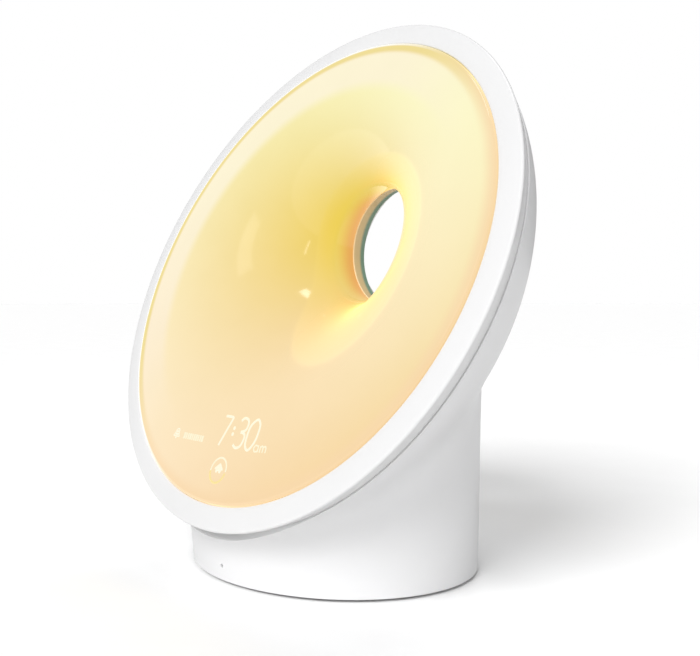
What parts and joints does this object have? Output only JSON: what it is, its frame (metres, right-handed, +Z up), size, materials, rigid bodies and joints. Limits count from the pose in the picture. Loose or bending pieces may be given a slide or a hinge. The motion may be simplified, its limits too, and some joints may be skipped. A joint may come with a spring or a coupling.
{
  "type": "sunrise alarm clock",
  "caption": "Bedside sunrise alarm clock: a leaning ring light with a funnel-shaped glowing front around a see-through hole, on an oval base, with a clock display low in the light.",
  "frame": {"origin": "middle of the oval base on the table, on the underside of the rubber mat", "axes": "+Z up, the light faces -Y, +X to the right of someone who faces the clock"},
  "size_m": [0.219, 0.1204, 0.2229],
  "materials": {
    "ring_white": "satin white",
    "glow": "translucent, softly glossy, lit from behind",
    "collar": "satin grey-green",
    "housing_white": "satin white",
    "cover_grey": "fine texture",
    "mat_rubber": "matt",
    "reflector_white": "matt white",
    "circuit_board": "satin",
    "diode": "clear",
    "screw_steel": "plain",
    "mask_black": "matt",
    "bar_glow": "lit",
    "button_white": "satin white",
    "frame_steel": "satin",
    "magnet_grey": "matt",
    "cone_black": "fibrous",
    "coil_copper": "wound",
    "surround_rubber": "matt",
    "port_steel": "plain",
    "cell_steel": "plain",
    "lens_grey": "clear",
    "cable_white": "satin"
  },
  "bodies": {
    "housing": {"front_ring": "ring_white", "diffuser": "glow", "hole_collar": "collar", "rear_housing": "housing_white", "bottom_cover": "cover_grey", "foot_mat": "mat_rubber", "reflector": "reflector_white", "led_board": "circuit_board", "leds": "diode", "led_screws": "screw_steel", "display_board": "circuit_board", "display_mask": "mask_black", "display_bars": "bar_glow", "display_screws": "screw_steel", "button_board": "circuit_board", "button_switches": "mask_black", "button_screws": "screw_steel", "speaker_frame": "frame_steel", "speaker_magnet": "magnet_grey", "speaker_surround": "surround_rubber", "speaker_gasket": "surround_rubber", "speaker_screws": "screw_steel", "main_board": "circuit_board", "board_parts": "mask_black", "power_inlet": "mask_black", "audio_socket": "mask_black", "usb_port": "port_steel", "cell_holder": "mask_black", "backup_cell": "cell_steel", "board_screws": "screw_steel", "cover_screws": "screw_steel", "sensor_lens": "lens_grey", "led_cable": "cable_white", "display_cable": "cable_white", "speaker_cable": "cable_white", "button_cable": "cable_white"},
    "light_button": {"light_button": "button_white", "light_plunger": "mask_black"},
    "alarm_button": {"alarm_button": "button_white", "alarm_plunger": "mask_black"},
    "cone": {"speaker_cone": "cone_black", "dust_cap": "cone_black", "voice_coil": "coil_copper"}
  },
  "joints": [
    {"name": "light_button_press", "type": "slide", "parent": "housing", "child": "light_button", "axis": [0, -0.8095, -0.5872], "range_m": [0, 0.0006], "stiffness_N_per_m": 1500, "springref_m": -0.0004},
    {"name": "alarm_button_press", "type": "slide", "parent": "housing", "child": "alarm_button", "axis": [0, -0.8095, -0.5872], "range_m": [0, 0.0006], "stiffness_N_per_m": 1500, "springref_m": -0.0004},
    {"name": "cone_travel", "type": "slide", "parent": "housing", "child": "cone", "axis": [0, 1, 0], "range_m": [-0.0015, 0.0015], "stiffness_N_per_m": 1200, "deforming": ["speaker_surround"]}
  ]
}
